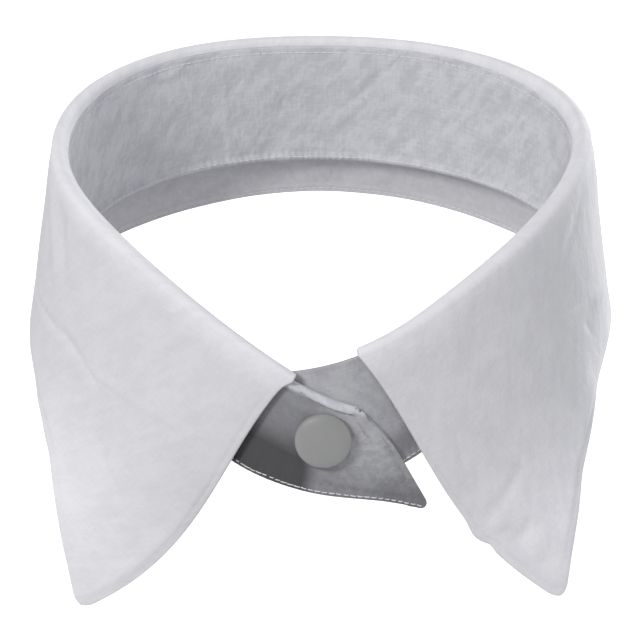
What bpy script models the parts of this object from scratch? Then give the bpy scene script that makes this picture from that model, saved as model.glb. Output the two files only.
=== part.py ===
"""A detachable shirt collar, buttoned, in the round form that it keeps when worn.

The maker cuts two cloth pieces: the band, which stands round the neck and ends in a tab and an
underlap, and the leaf, which is sewn to the band's top edge and rolls over to hang outside it.
A domed button on the underlap comes through a buttonhole in the tab.

Frame: +Z up, the front towards -Y. The origin is the middle of the neck, level with the band's
lower edge at centre back. A turn is the angle about the neck from centre back, in degrees,
minus on the tab's side and plus on the underlap's side, and 180 is centre front.
Sizes in the tables are in millimetres.
"""

import bmesh
import bpy
import numpy as np
from mathutils import Matrix, Vector

MM = 0.001

# Cloth walls, each the fused layers that are sewn together
BAND_WALL = 1.3
LEAF_WALL = 1.1
SEAM_GAP = 0.4

# Grids of the two strips: sections round the neck, and steps down each section
BAND_SECTIONS = 108
BAND_STEPS = 9
LEAF_SECTIONS = 88
ROLL_STEPS = 6
FALL_STEPS = 9

# The band, by section: distance of the roll line from the neck's middle, height of the roll line,
# height of the band, and how far its lower edge leans out, in degrees
BAND_COLUMNS = ("turn", "radius", "height", "stand", "lean")
BAND_ROWS = (
    (-206, 60.5, -20.0, 21.0, 6.0),
    (-192, 60.0, -14.2, 21.0, 6.0),
    (-180, 59.3, -9.8, 23.3, 6.0),
    (-165, 57.5, -1.7, 27.2, 7.0),
    (-150, 55.5, 5.5, 28.0, 7.5),
    (-120, 57.2, 18.0, 28.5, 5.5),
    (-90, 61.7, 24.5, 30.0, 3.5),
    (-60, 66.3, 29.5, 31.5, 3.0),
    (-30, 67.3, 32.0, 32.0, 3.5),
    (0, 66.7, 31.5, 32.0, 6.0),
    (30, 67.4, 30.5, 32.0, 2.0),
    (60, 68.0, 26.5, 31.0, 2.0),
    (90, 60.5, 21.5, 29.0, 4.5),
    (120, 54.7, 15.5, 28.0, 7.0),
    (150, 54.2, 6.5, 28.5, 8.5),
    (165, 56.2, 1.2, 29.5, 7.0),
    (180, 57.0, -3.2, 28.2, 5.4),
    (196, 55.5, -6.4, 20.6, 5.6),
)

# How the band's two ends are cut: the turn that each reaches, from the top edge (0) to the lower (1)
TAB_COLUMNS = ("down", "turn")
TAB_ROWS = (
    (0.00, -186.5),
    (0.12, -190.0),
    (0.30, -194.0),
    (0.60, -198.0),
    (0.85, -201.0),
    (0.95, -201.2),
    (1.00, -199.8),
)
UNDERLAP_ROWS = (
    (0.00, 192.0),
    (0.15, 195.0),
    (0.50, 196.5),
    (0.85, 195.5),
    (1.00, 192.5),
)
STRAIGHT_TURN = 150

# The leaf, by section: radius of the roll, rise of the inner side above the band, fall of the
# outer side square to the roll line, its flare, its swing towards the front, and the bow of
# its line between roll and hem
LEAF_COLUMNS = ("turn", "roll", "rise", "fall", "flare", "swing", "bow")
LEAF_ROWS = (
    (-172.2, 1.0, 0.4, 76.4, 6.5, -15.2, 5.6),
    (-164, 1.1, 0.6, 61.4, 11.0, -20.3, 4.4),
    (-154, 1.3, 0.8, 52.5, 10.0, -20.0, 2.6),
    (-140, 1.5, 0.8, 48.5, 8.5, -12.0, 1.0),
    (-115, 1.6, 0.8, 45.0, 8.8, -2.0, 0.0),
    (-90, 1.5, 0.8, 44.0, 7.6, 3.0, 0.0),
    (-60, 1.3, 0.6, 45.8, 7.0, 4.0, 0.0),
    (-30, 1.0, 0.3, 45.8, 7.5, 1.8, 0.0),
    (0, 1.0, 0.3, 43.7, 8.0, 0.0, 0.0),
    (30, 1.1, 0.4, 46.0, 7.2, 2.0, 0.0),
    (60, 1.5, 1.2, 47.0, 6.0, 5.0, 0.0),
    (90, 1.8, 1.4, 45.0, 5.8, 4.5, 0.0),
    (115, 1.8, 1.2, 45.2, 7.0, -3.0, 0.0),
    (140, 1.6, 1.0, 48.7, 9.0, -12.5, 1.0),
    (154, 1.4, 0.8, 54.3, 11.0, -17.0, 2.6),
    (164, 1.2, 0.6, 60.8, 9.2, -24.0, 3.8),
    (172.5, 1.0, 0.4, 73.8, 5.5, -26.8, 5.0),
)
BOW_SKEW = 1.0
# Sections stand closer at the two points than at the back, by this share
CLOSER_AT_POINTS = 0.7

# The button: a low dome on a narrow shank
BUTTON_TURN = -179.4
BUTTON_DOWN = 0.42
BUTTON_RADIUS = 6.4
BUTTON_RIM = 1.4
BUTTON_DOME = 1.9
BUTTON_SEAT = 0.3
# Under the rim: how far in and up its outer corner is, and how far in the flat underside starts
RIM_CHAMFER = (0.2, 0.4, 0.9)
SHANK_RADIUS = 1.0
HOLE_LENGTH = 9.0
HOLE_WIDTH = 2.6
HOLE_DEPTH = 4.0
HOLE_ROUNDING = 1.27
HOLE_STEPS = 4
DOME_STEPS = 7
TURNED_STEPS = 40
MERGE_REACH = 0.02


def spline(xs, ys, x):
    """Natural cubic curve through the points (xs, ys), read at x."""
    steps = np.diff(xs)
    matrix = np.eye(len(xs))
    bend = np.zeros(len(xs))
    for i in range(1, len(xs) - 1):
        matrix[i, i - 1:i + 2] = steps[i - 1], 2 * (steps[i - 1] + steps[i]), steps[i]
        bend[i] = 6 * ((ys[i + 1] - ys[i]) / steps[i] - (ys[i] - ys[i - 1]) / steps[i - 1])
    bend = np.linalg.solve(matrix, bend)
    k = np.clip(np.searchsorted(xs, x) - 1, 0, len(xs) - 2)
    before, after, step = x - xs[k], xs[k + 1] - x, steps[k]
    curved = (bend[k] * after ** 3 + bend[k + 1] * before ** 3) / (6 * step)
    start = (ys[k] / step - bend[k] * step / 6) * after
    end = (ys[k + 1] / step - bend[k + 1] * step / 6) * before
    return curved + start + end


def column(columns, rows, name, x):
    """Values of the named column at x, which is measured along the first column."""
    table = np.array(rows, float)
    return spline(table[:, 0], table[:, columns.index(name)], np.asarray(x, float))


def band_value(name, turn):
    return column(BAND_COLUMNS, BAND_ROWS, name, turn)


def leaf_value(name, turn):
    """The band's top edge follows the roll past the leaf's two corners, so the turn is held there."""
    return column(LEAF_COLUMNS, LEAF_ROWS, name, np.clip(turn, LEAF_ROWS[0][0], LEAF_ROWS[-1][0]))


def roll_line(turn):
    """Points on the axis of the roll."""
    angle = np.radians(turn)
    radius = band_value("radius", turn)
    return np.stack([radius * np.sin(angle), radius * np.cos(angle), band_value("height", turn)], -1)


def roll_frame(turn):
    """Point on the roll's axis, the direction along it, level outwards, and square down from it."""
    small = 0.05
    along = roll_line(turn + small) - roll_line(turn - small)
    along /= np.linalg.norm(along, axis=-1, keepdims=True)
    out = np.cross(along, (0.0, 0.0, 1.0))
    out *= -1 / np.linalg.norm(out, axis=-1, keepdims=True)
    down = np.cross(out, along)
    return roll_line(turn), along, out, down


def band_point(turn, down):
    """Points on the middle of the band's wall, from the top edge (0) to the lower edge (1)."""
    axis, _, out, _ = roll_frame(turn)
    lean = np.radians(band_value("lean", turn))
    stand = band_value("stand", turn) * down
    level = -leaf_value("roll", turn) + stand * np.sin(lean)
    height = -leaf_value("rise", turn) - SEAM_GAP - stand * np.cos(lean)
    return axis + out * level[..., None] + np.array((0.0, 0.0, 1.0)) * height[..., None]


def band_turn(across, down):
    """Turn at each place of the band's grid, with the two end stretches slanted as they are cut."""
    first, last = BAND_ROWS[0][0], BAND_ROWS[-1][0]
    turn = first + (last - first) * across
    tab_end = column(TAB_COLUMNS, TAB_ROWS, "turn", down)
    underlap_end = column(TAB_COLUMNS, UNDERLAP_ROWS, "turn", down)
    tab_share = (tab_end + STRAIGHT_TURN) / (first + STRAIGHT_TURN)
    underlap_share = (underlap_end - STRAIGHT_TURN) / (last - STRAIGHT_TURN)
    tab = -STRAIGHT_TURN + (turn + STRAIGHT_TURN) * tab_share
    underlap = STRAIGHT_TURN + (turn - STRAIGHT_TURN) * underlap_share
    return np.where(turn < -STRAIGHT_TURN, tab, np.where(turn > STRAIGHT_TURN, underlap, turn))


def band_surface(across, down):
    return band_point(band_turn(across, down), down)


def leaf_surface(across, along_section):
    """Points on the middle of the leaf's wall: up from the seam, over the roll and down to the hem."""
    eased = across - CLOSER_AT_POINTS * np.sin(2 * np.pi * across) / (2 * np.pi)
    turn = LEAF_ROWS[0][0] + (LEAF_ROWS[-1][0] - LEAF_ROWS[0][0]) * eased
    axis, forward, out, down = roll_frame(turn)
    forward = forward * np.sign(turn)[..., None]
    roll = leaf_value("roll", turn)
    step = along_section * (1 + ROLL_STEPS + FALL_STEPS)
    rise = leaf_value("rise", turn) * np.clip(1 - step, 0, 1)
    angle = np.pi * np.clip((step - 1) / ROLL_STEPS, 0, 1)
    fallen = np.clip((step - 1 - ROLL_STEPS) / FALL_STEPS, 0, 1)
    bow = leaf_value("bow", turn) * 4 * fallen * (1 - fallen) * (1 + BOW_SKEW * (2 * fallen - 1))
    level = -roll * np.cos(angle) + leaf_value("flare", turn) * fallen
    swing = leaf_value("swing", turn) * fallen + bow
    drop = leaf_value("fall", turn) * fallen
    up = roll * np.sin(angle) - rise
    points = axis + out * level[..., None] + forward * swing[..., None] + down * drop[..., None]
    return points + np.array((0.0, 0.0, 1.0)) * up[..., None]


def collection(name):
    made = bpy.data.collections.new(name)
    bpy.context.scene.collection.children.link(made)
    return made


def material(name, color, roughness):
    made = bpy.data.materials.new(name)
    made.use_nodes = True
    shader = made.node_tree.nodes["Principled BSDF"]
    shader.inputs["Base Color"].default_value = (*color, 1.0)
    shader.inputs["Roughness"].default_value = roughness
    shader.inputs["Metallic"].default_value = 0.0
    return made


def mesh_object(name, bm, target, look=None):
    mesh = bpy.data.meshes.new(name)
    bm.to_mesh(mesh)
    bm.free()
    made = bpy.data.objects.new(name, mesh)
    target.objects.link(made)
    if look:
        mesh.materials.append(look)
        mesh.shade_smooth()
    return made


def cloth_strip(name, surface, sections, steps, wall, target, look):
    """A flat grid bent onto a surface, and thickened evenly on both sides of it."""
    bm = bmesh.new()
    bmesh.ops.create_grid(bm, x_segments=sections, y_segments=steps, size=0.5)
    flat = np.array([v.co[:2] for v in bm.verts]) + 0.5
    for vert, point in zip(bm.verts, surface(flat[:, 0], flat[:, 1])):
        vert.co = Vector(point) * MM
    strip = mesh_object(name, bm, target, look)
    thick = strip.modifiers.new("cloth wall", "SOLIDIFY")
    thick.thickness = wall * MM
    thick.offset = 0.0
    thick.use_even_offset = True
    return strip


def button_place():
    """Matrix of the button: Z out of the tab, X along it, at the tab's outer face."""
    turn, down = np.array(BUTTON_TURN), np.array(BUTTON_DOWN)
    here = Vector(band_point(turn, down))
    along = (Vector(band_point(turn - 1, down)) - here).normalized()
    below = (Vector(band_point(turn, down + 0.05)) - here).normalized()
    outward = along.cross(-below).normalized()
    if outward.dot(Vector(roll_frame(turn)[2])) < 0:
        outward = -outward
    upward = outward.cross(along)
    place = Matrix((along, upward, outward)).transposed().to_4x4()
    place.translation = (here + outward * BAND_WALL / 2) * MM
    return place


def button_profile():
    """Half section from the top of the dome, down its outer side and in to the shank's foot."""
    dome = [(BUTTON_RADIUS * np.sin(a), BUTTON_RIM + BUTTON_DOME * np.cos(a))
            for a in np.linspace(0, np.pi / 2, DOME_STEPS)]
    under_rim = [(BUTTON_RADIUS - RIM_CHAMFER[0], RIM_CHAMFER[1]), (BUTTON_RADIUS - RIM_CHAMFER[2], 0.0),
                 (SHANK_RADIUS, 0.0)]
    foot = BUTTON_SEAT + BAND_WALL + shank_reach()
    return dome + under_rim + [(SHANK_RADIUS, -foot), (0.0, -foot)]


def shank_reach():
    """Way from the tab's inner face to just above the underlap's outer face, at the button."""
    tab = band_point(np.array(BUTTON_TURN), np.array(BUTTON_DOWN))
    opposite = np.array(BUTTON_TURN + 360)
    top, foot = band_point(opposite, np.array(0.0)), band_point(opposite, np.array(1.0))
    under = top + (foot - top) * (tab[2] - top[2]) / (foot[2] - top[2])
    lean = np.radians(band_value("lean", opposite))
    apart = (np.hypot(*tab[:2]) - np.hypot(*under[:2])) * np.cos(lean)
    return float(apart) - BAND_WALL - SEAM_GAP


def turned_button(target, look):
    bm = bmesh.new()
    ring = [bm.verts.new((x * MM, 0.0, (z + BUTTON_SEAT) * MM)) for x, z in button_profile()]
    for upper, lower in zip(ring, ring[1:]):
        bm.edges.new((upper, lower))
    button = mesh_object("button", bm, target, look)
    screw = button.modifiers.new("turned", "SCREW")
    screw.steps = TURNED_STEPS
    screw.render_steps = TURNED_STEPS
    screw.use_merge_vertices = True
    screw.merge_threshold = MERGE_REACH * MM
    return button


def buttonhole_cutter(target):
    """A slot with round ends, through the tab at the button."""
    bm = bmesh.new()
    size = Matrix.Diagonal((HOLE_LENGTH * MM, HOLE_WIDTH * MM, HOLE_DEPTH * MM, 1.0))
    bmesh.ops.create_cube(bm, size=1.0, matrix=size)
    through = [e for e in bm.edges if abs((e.verts[0].co - e.verts[1].co).z) > HOLE_WIDTH * MM]
    bmesh.ops.bevel(bm, geom=through, offset=HOLE_ROUNDING * MM, segments=HOLE_STEPS, profile=0.5,
                    affect="EDGES")
    cutter = mesh_object("buttonhole_cutter", bm, target)
    cutter.hide_render = True
    cutter.display_type = "WIRE"
    return cutter


def build():
    for old in list(bpy.data.objects):
        bpy.data.objects.remove(old)
    parts = collection("detachable_shirt_collar")
    cutters = collection("cutters")
    leaf_cotton = material("leaf_cotton", (0.78, 0.77, 0.82), 0.85)
    band_cotton = material("band_cotton", (0.72, 0.71, 0.76), 0.85)
    button_plastic = material("button_plastic", (0.55, 0.55, 0.56), 0.4)

    band = cloth_strip("collar_band", band_surface, BAND_SECTIONS, BAND_STEPS, BAND_WALL, parts,
                       band_cotton)
    cloth_strip("collar_leaf", leaf_surface, LEAF_SECTIONS, 1 + ROLL_STEPS + FALL_STEPS, LEAF_WALL,
                parts, leaf_cotton)
    button = turned_button(parts, button_plastic)
    cutter = buttonhole_cutter(cutters)
    button.matrix_world = button_place()
    cutter.matrix_world = button_place()
    hole = band.modifiers.new("buttonhole", "BOOLEAN")
    hole.operation = "DIFFERENCE"
    hole.solver = "EXACT"
    hole.object = cutter


build()
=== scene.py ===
"""A detachable shirt collar in white cotton, buttoned and filled out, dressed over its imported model.

Frame: +Z up, the front towards -Y, the origin in the middle of the neck. A turn is the angle about
the neck from centre back, in degrees, minus on the tab's side and plus on the underlap's side, and
180 is centre front. Sizes are in millimetres, and every mesh is made in metres.
"""

import math

import bpy
import numpy as np
from mathutils import Matrix, Vector


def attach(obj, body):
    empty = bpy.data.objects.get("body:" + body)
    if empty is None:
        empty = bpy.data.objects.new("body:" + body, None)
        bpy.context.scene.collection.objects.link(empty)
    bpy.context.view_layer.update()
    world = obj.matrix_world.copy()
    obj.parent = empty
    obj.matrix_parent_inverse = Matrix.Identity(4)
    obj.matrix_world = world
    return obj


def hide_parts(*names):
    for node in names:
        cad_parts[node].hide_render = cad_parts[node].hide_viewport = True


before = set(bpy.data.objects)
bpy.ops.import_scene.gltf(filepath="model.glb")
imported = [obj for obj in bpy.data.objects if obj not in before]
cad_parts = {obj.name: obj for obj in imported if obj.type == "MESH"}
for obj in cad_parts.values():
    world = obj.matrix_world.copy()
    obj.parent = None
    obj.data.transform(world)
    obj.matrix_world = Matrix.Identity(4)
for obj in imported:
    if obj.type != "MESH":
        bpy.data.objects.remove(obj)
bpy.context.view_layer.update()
MM = 0.001


# Studio: a pale floor just under the leaf's points, a camera with a long lens that looks down at the
# neck opening, and three lamps in a bright room. The key is in front on the left, so the tab's side is
# the brighter. A weak one is low on the right, and a strong one low behind, which lights the
# underlap's side and the inside of the neck.

FLOOR_HEIGHT = -66.0
FLOOR_SIZE = 6.0
FLOOR_GLOW = 0.75
ROOM_LIGHT = 0.495

bpy.ops.mesh.primitive_plane_add(size=FLOOR_SIZE)
floor = bpy.context.object
floor.name = "studio_floor"
floor.data.transform(Matrix.Translation((0, 0, FLOOR_HEIGHT * MM)))
paper = bpy.data.materials.new("studio_paper")
paper.use_nodes = True
paper_shader = paper.node_tree.nodes["Principled BSDF"]
paper_shader.inputs["Base Color"].default_value = (0.86, 0.86, 0.87, 1)
paper_shader.inputs["Roughness"].default_value = 0.9
paper_shader.inputs["Specular IOR Level"].default_value = 0.1
paper_shader.inputs["Emission Color"].default_value = (1, 1, 1, 1)
paper_shader.inputs["Emission Strength"].default_value = FLOOR_GLOW
floor.data.materials.append(paper)
floor.visible_diffuse = False

CAMERA_PLACE = (0.74, -720.85, 293.23)
CAMERA_AZIMUTH = 0.1455
CAMERA_ELEVATION = 23.2725
CAMERA_ROLL = -0.9916
CAMERA_LENS = 182.956
FILM_WIDTH = 36

lens = bpy.data.cameras.new("camera")
lens.lens = CAMERA_LENS
lens.sensor_width = FILM_WIDTH
camera = bpy.data.objects.new("camera", lens)
bpy.context.scene.collection.objects.link(camera)
bpy.context.scene.camera = camera
azimuth, elevation = math.radians(CAMERA_AZIMUTH), math.radians(CAMERA_ELEVATION)
look = Vector((-math.sin(azimuth) * math.cos(elevation), math.cos(azimuth) * math.cos(elevation),
               -math.sin(elevation)))
unrolled = look.to_track_quat("-Z", "Y").to_matrix().to_4x4()
turned = Matrix.Rotation(math.radians(-CAMERA_ROLL), 4, look) @ unrolled
camera.matrix_world = Matrix.Translation(Vector(CAMERA_PLACE) * MM) @ turned

# Each lamp: where it hangs and its size, in metres, its power in watts, and its colour
LAMPS = (
    ("key_lamp", (-0.66, -0.78, 0.72), 0.3, 6.2, (1.0, 0.995, 0.99)),
    ("fill_lamp", (1.20, -0.32, 0.17), 0.3, 1.7, (0.98, 0.99, 1.0)),
    ("back_lamp", (0.62, 1.07, 0.17), 0.3, 12.0, (0.98, 0.99, 1.0)),
)
for name, place, size, power, colour in LAMPS:
    lamp = bpy.data.lights.new(name, "AREA")
    lamp.shape, lamp.size, lamp.energy, lamp.color = "SQUARE", size, power, colour
    hung = bpy.data.objects.new(name, lamp)
    bpy.context.scene.collection.objects.link(hung)
    hung.location = place
    hung.rotation_euler = (-Vector(place)).to_track_quat("-Z", "Y").to_euler()

world = bpy.data.worlds.new("studio_air")
bpy.context.scene.world = world
world.use_nodes = True
world.node_tree.nodes["Background"].inputs["Color"].default_value = (0.97, 0.98, 1.0, 1)
world.node_tree.nodes["Background"].inputs["Strength"].default_value = ROOM_LIGHT
bpy.context.scene.view_settings.view_transform = "Standard"


# Band: a doubled strip of cotton over interlining, which stands round the neck and ends in a
# slanted tab and a shorter underlap. It is sewn round near its edges, and worn soft, with streaky
# wrinkles on its inner face and a line where it was once pressed.

BAND_WALL = 1.3
SEAM_GAP = 0.4
BAND_COLUMNS = ("turn", "radius", "height", "stand", "lean")
BAND_ROWS = (
    (-206, 60.5, -20.0, 21.0, 6.0),
    (-192, 60.0, -14.2, 21.0, 6.0),
    (-180, 59.3, -9.8, 23.3, 6.0),
    (-165, 57.5, -1.7, 27.2, 7.0),
    (-150, 55.5, 5.5, 28.0, 7.5),
    (-120, 57.2, 18.0, 28.5, 5.5),
    (-90, 61.7, 24.5, 30.0, 3.5),
    (-60, 66.3, 29.5, 31.5, 3.0),
    (-30, 67.3, 32.0, 32.0, 3.5),
    (0, 66.7, 31.5, 32.0, 6.0),
    (30, 67.4, 30.5, 32.0, 2.0),
    (60, 68.0, 26.5, 31.0, 2.0),
    (90, 60.5, 21.5, 29.0, 4.5),
    (120, 54.7, 15.5, 28.0, 7.0),
    (150, 54.2, 6.5, 28.5, 8.5),
    (165, 56.2, 1.2, 29.5, 7.0),
    (180, 57.0, -3.2, 28.2, 5.4),
    (196, 55.5, -6.4, 20.6, 5.6),
)
END_COLUMNS = ("down", "turn")
TAB_ROWS = (
    (0.00, -186.5),
    (0.12, -190.0),
    (0.30, -194.0),
    (0.60, -198.0),
    (0.85, -201.0),
    (0.95, -201.2),
    (1.00, -199.8),
)
UNDERLAP_ROWS = (
    (0.00, 192.0),
    (0.15, 195.0),
    (0.50, 196.5),
    (0.85, 195.5),
    (1.00, 192.5),
)
STRAIGHT_TURN = 150
LEAF_COLUMNS = ("turn", "roll", "rise", "fall", "flare", "swing", "bow")
LEAF_ROWS = (
    (-172.2, 1.0, 0.4, 76.4, 6.5, -15.2, 5.6),
    (-164, 1.1, 0.6, 61.4, 11.0, -20.3, 4.4),
    (-154, 1.3, 0.8, 52.5, 10.0, -20.0, 2.6),
    (-140, 1.5, 0.8, 48.5, 8.5, -12.0, 1.0),
    (-115, 1.6, 0.8, 45.0, 8.8, -2.0, 0.0),
    (-90, 1.5, 0.8, 44.0, 7.6, 3.0, 0.0),
    (-60, 1.3, 0.6, 45.8, 7.0, 4.0, 0.0),
    (-30, 1.0, 0.3, 45.8, 7.5, 1.8, 0.0),
    (0, 1.0, 0.3, 43.7, 8.0, 0.0, 0.0),
    (30, 1.1, 0.4, 46.0, 7.2, 2.0, 0.0),
    (60, 1.5, 1.2, 47.0, 6.0, 5.0, 0.0),
    (90, 1.8, 1.4, 45.0, 5.8, 4.5, 0.0),
    (115, 1.8, 1.2, 45.2, 7.0, -3.0, 0.0),
    (140, 1.6, 1.0, 48.7, 9.0, -12.5, 1.0),
    (154, 1.4, 0.8, 54.3, 11.0, -17.0, 2.6),
    (164, 1.2, 0.6, 60.8, 9.2, -24.0, 3.8),
    (172.5, 1.0, 0.4, 73.8, 5.5, -26.8, 5.0),
)
UPRIGHT = np.array((0.0, 0.0, 1.0))


def spline(xs, ys, x):
    """Natural cubic curve through the points (xs, ys), read at x."""
    steps = np.diff(xs)
    matrix = np.eye(len(xs))
    bend = np.zeros(len(xs))
    for i in range(1, len(xs) - 1):
        matrix[i, i - 1:i + 2] = steps[i - 1], 2 * (steps[i - 1] + steps[i]), steps[i]
        bend[i] = 6 * ((ys[i + 1] - ys[i]) / steps[i] - (ys[i] - ys[i - 1]) / steps[i - 1])
    bend = np.linalg.solve(matrix, bend)
    k = np.clip(np.searchsorted(xs, x) - 1, 0, len(xs) - 2)
    before, after, step = x - xs[k], xs[k + 1] - x, steps[k]
    curved = (bend[k] * after ** 3 + bend[k + 1] * before ** 3) / (6 * step)
    start = (ys[k] / step - bend[k] * step / 6) * after
    end = (ys[k + 1] / step - bend[k + 1] * step / 6) * before
    return curved + start + end


def column(columns, rows, name, x):
    """Values of the named column at x, which is measured along the first column."""
    table = np.array(rows, float)
    return spline(table[:, 0], table[:, columns.index(name)], np.asarray(x, float))


def band_value(name, turn):
    return column(BAND_COLUMNS, BAND_ROWS, name, turn)


def leaf_value(name, turn):
    return column(LEAF_COLUMNS, LEAF_ROWS, name, np.clip(turn, LEAF_ROWS[0][0], LEAF_ROWS[-1][0]))


def roll_line(turn):
    """Points on the axis of the roll, where the leaf turns over."""
    angle = np.radians(turn)
    radius = band_value("radius", turn)
    return np.stack([radius * np.sin(angle), radius * np.cos(angle), band_value("height", turn)], -1)


def roll_frame(turn):
    """Point on the roll's axis, the direction along it, level outwards, and square down from it."""
    small = 0.05
    along = roll_line(turn + small) - roll_line(turn - small)
    along /= np.linalg.norm(along, axis=-1, keepdims=True)
    out = np.cross(along, UPRIGHT)
    out *= -1 / np.linalg.norm(out, axis=-1, keepdims=True)
    return roll_line(turn), along, out, np.cross(out, along)


def band_point(turn, down):
    """Points on the middle of the band's wall, from the top edge (0) to the lower edge (1)."""
    axis, _, out, _ = roll_frame(turn)
    lean = np.radians(band_value("lean", turn))
    stand = band_value("stand", turn) * down
    level = -leaf_value("roll", turn) + stand * np.sin(lean)
    height = -leaf_value("rise", turn) - SEAM_GAP - stand * np.cos(lean)
    return axis + out * level[..., None] + UPRIGHT * height[..., None]


def band_turn(across, down):
    """Turn at each place of the band, with the two end stretches slanted as they are cut."""
    first, last = BAND_ROWS[0][0], BAND_ROWS[-1][0]
    turn = first + (last - first) * across
    tab_end = column(END_COLUMNS, TAB_ROWS, "turn", down)
    underlap_end = column(END_COLUMNS, UNDERLAP_ROWS, "turn", down)
    tab = -STRAIGHT_TURN + (turn + STRAIGHT_TURN) * (tab_end + STRAIGHT_TURN) / (first + STRAIGHT_TURN)
    past = turn - STRAIGHT_TURN
    underlap = STRAIGHT_TURN + past * (underlap_end - STRAIGHT_TURN) / (last - STRAIGHT_TURN)
    return np.where(turn < -STRAIGHT_TURN, tab, np.where(turn > STRAIGHT_TURN, underlap, turn))


def unit(vectors):
    return vectors / np.maximum(np.linalg.norm(vectors, axis=-1, keepdims=True), 1e-9)


def facing(points):
    """Directions square to a sheet of points, away from the neck's middle."""
    return unit(np.cross(np.gradient(points, axis=1), np.gradient(points, axis=0)))


def reach(points, axis):
    """Way from the first point of each row, or column, of a sheet to every other."""
    steps = np.linalg.norm(np.diff(points, axis=axis), axis=-1)
    start = np.zeros_like(np.take(steps, [0], axis=axis))
    return np.concatenate([start, np.cumsum(steps, axis=axis)], axis=axis)


def creases(along, down, rows):
    """Height of soft ridges and troughs. Each row gives the two ends of one, as places along the cloth
    and down it, then its width, height and how far its middle bends aside."""
    total = np.zeros_like(along)
    for from_along, from_down, to_along, to_down, width, height, aside in rows:
        length = math.hypot(to_along - from_along, to_down - from_down)
        run_x, run_y = (to_along - from_along) / length, (to_down - from_down) / length
        x, y = along - (from_along + to_along) / 2, down - (from_down + to_down) / 2
        run = (x * run_x + y * run_y) / (length / 2)
        off = y * run_x - x * run_y - aside * (1 - run ** 2)
        total += height * np.exp(-(off / width) ** 2) * np.exp(-run ** 4)
    return total


def ripple(along, pitch, uneven):
    """Puckers beside a seam: bumps about a pitch apart, of uneven height and spacing."""
    drift = along + pitch * (0.35 * np.sin(along / 7.3) + 0.22 * np.sin(along / 3.1 + 1.0))
    strength = 1 + uneven * (np.sin(along / 5.9 + 0.7) + np.sin(along / 13.7 + 2.1)) / 2
    return np.sin(2 * np.pi * drift / pitch) * strength


def rim_directions(points):
    """Order of the points round a sheet's edge, and the direction away from the sheet at each."""
    rows, columns = points.shape[:2]
    top = [(0, j) for j in range(columns - 1)]
    right = [(i, columns - 1) for i in range(rows - 1)]
    bottom = [(rows - 1, j) for j in range(columns - 1, 0, -1)]
    left = [(i, 0) for i in range(rows - 1, 0, -1)]
    loop = np.array(top + right + bottom + left)
    inner = np.clip(loop, [1, 1], [rows - 2, columns - 2])
    edge = points[loop[:, 0], loop[:, 1]]
    away = unit(edge - points[inner[:, 0], inner[:, 1]])
    run = unit(np.roll(edge, -1, 0) - np.roll(edge, 1, 0))
    square = unit(away - run * np.sum(away * run, axis=-1, keepdims=True))
    return loop, square


def cloth_shell(name, points, outer, inner, place, edge):
    """A closed sheet. Points is the middle of its wall, outer and inner are the ways to its two faces,
    place is where each point lies on the flat cloth, and edge is the section of its turned edge,
    as shares of the wall and ways beyond the cut line."""
    rows, columns = points.shape[:2]
    face = facing(points)
    loop, away = rim_directions(points)
    i, j = loop[:, 0], loop[:, 1]
    outer_points, inner_points = points + face * outer[..., None], points - face * inner[..., None]
    rings = [outer_points[i, j] + (inner_points[i, j] - outer_points[i, j]) * share + away * beyond
             for share, beyond in edge]
    flat = [place.reshape(-1, 2)] * 2 + [place[i, j]] * len(edge)
    verts = np.concatenate([outer_points.reshape(-1, 3), inner_points.reshape(-1, 3)] + rings)
    index = np.arange(rows * columns).reshape(rows, columns)
    quads = np.stack([index[:-1, :-1], index[1:, :-1], index[1:, 1:], index[:-1, 1:]], -1).reshape(-1, 4)
    faces = [quads, quads[:, ::-1] + rows * columns]
    edge_verts = 2 * rows * columns + np.arange(len(edge) * len(loop)).reshape(len(edge), len(loop))
    around = [index[i, j], *edge_verts, index[i, j] + rows * columns]
    for upper, lower in zip(around, around[1:]):
        faces.append(np.stack([upper, np.roll(upper, -1), np.roll(lower, -1), lower], -1))
    faces = np.concatenate(faces)
    mesh = bpy.data.meshes.new(name)
    mesh.from_pydata((verts * MM).tolist(), [], faces.tolist())
    layer = mesh.uv_layers.new(name="cloth")
    layer.data.foreach_set("uv", (np.concatenate(flat) * MM)[faces.ravel()].ravel())
    mesh.shade_smooth()
    piece = bpy.data.objects.new(name, mesh)
    bpy.context.scene.collection.objects.link(piece)
    return piece


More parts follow.
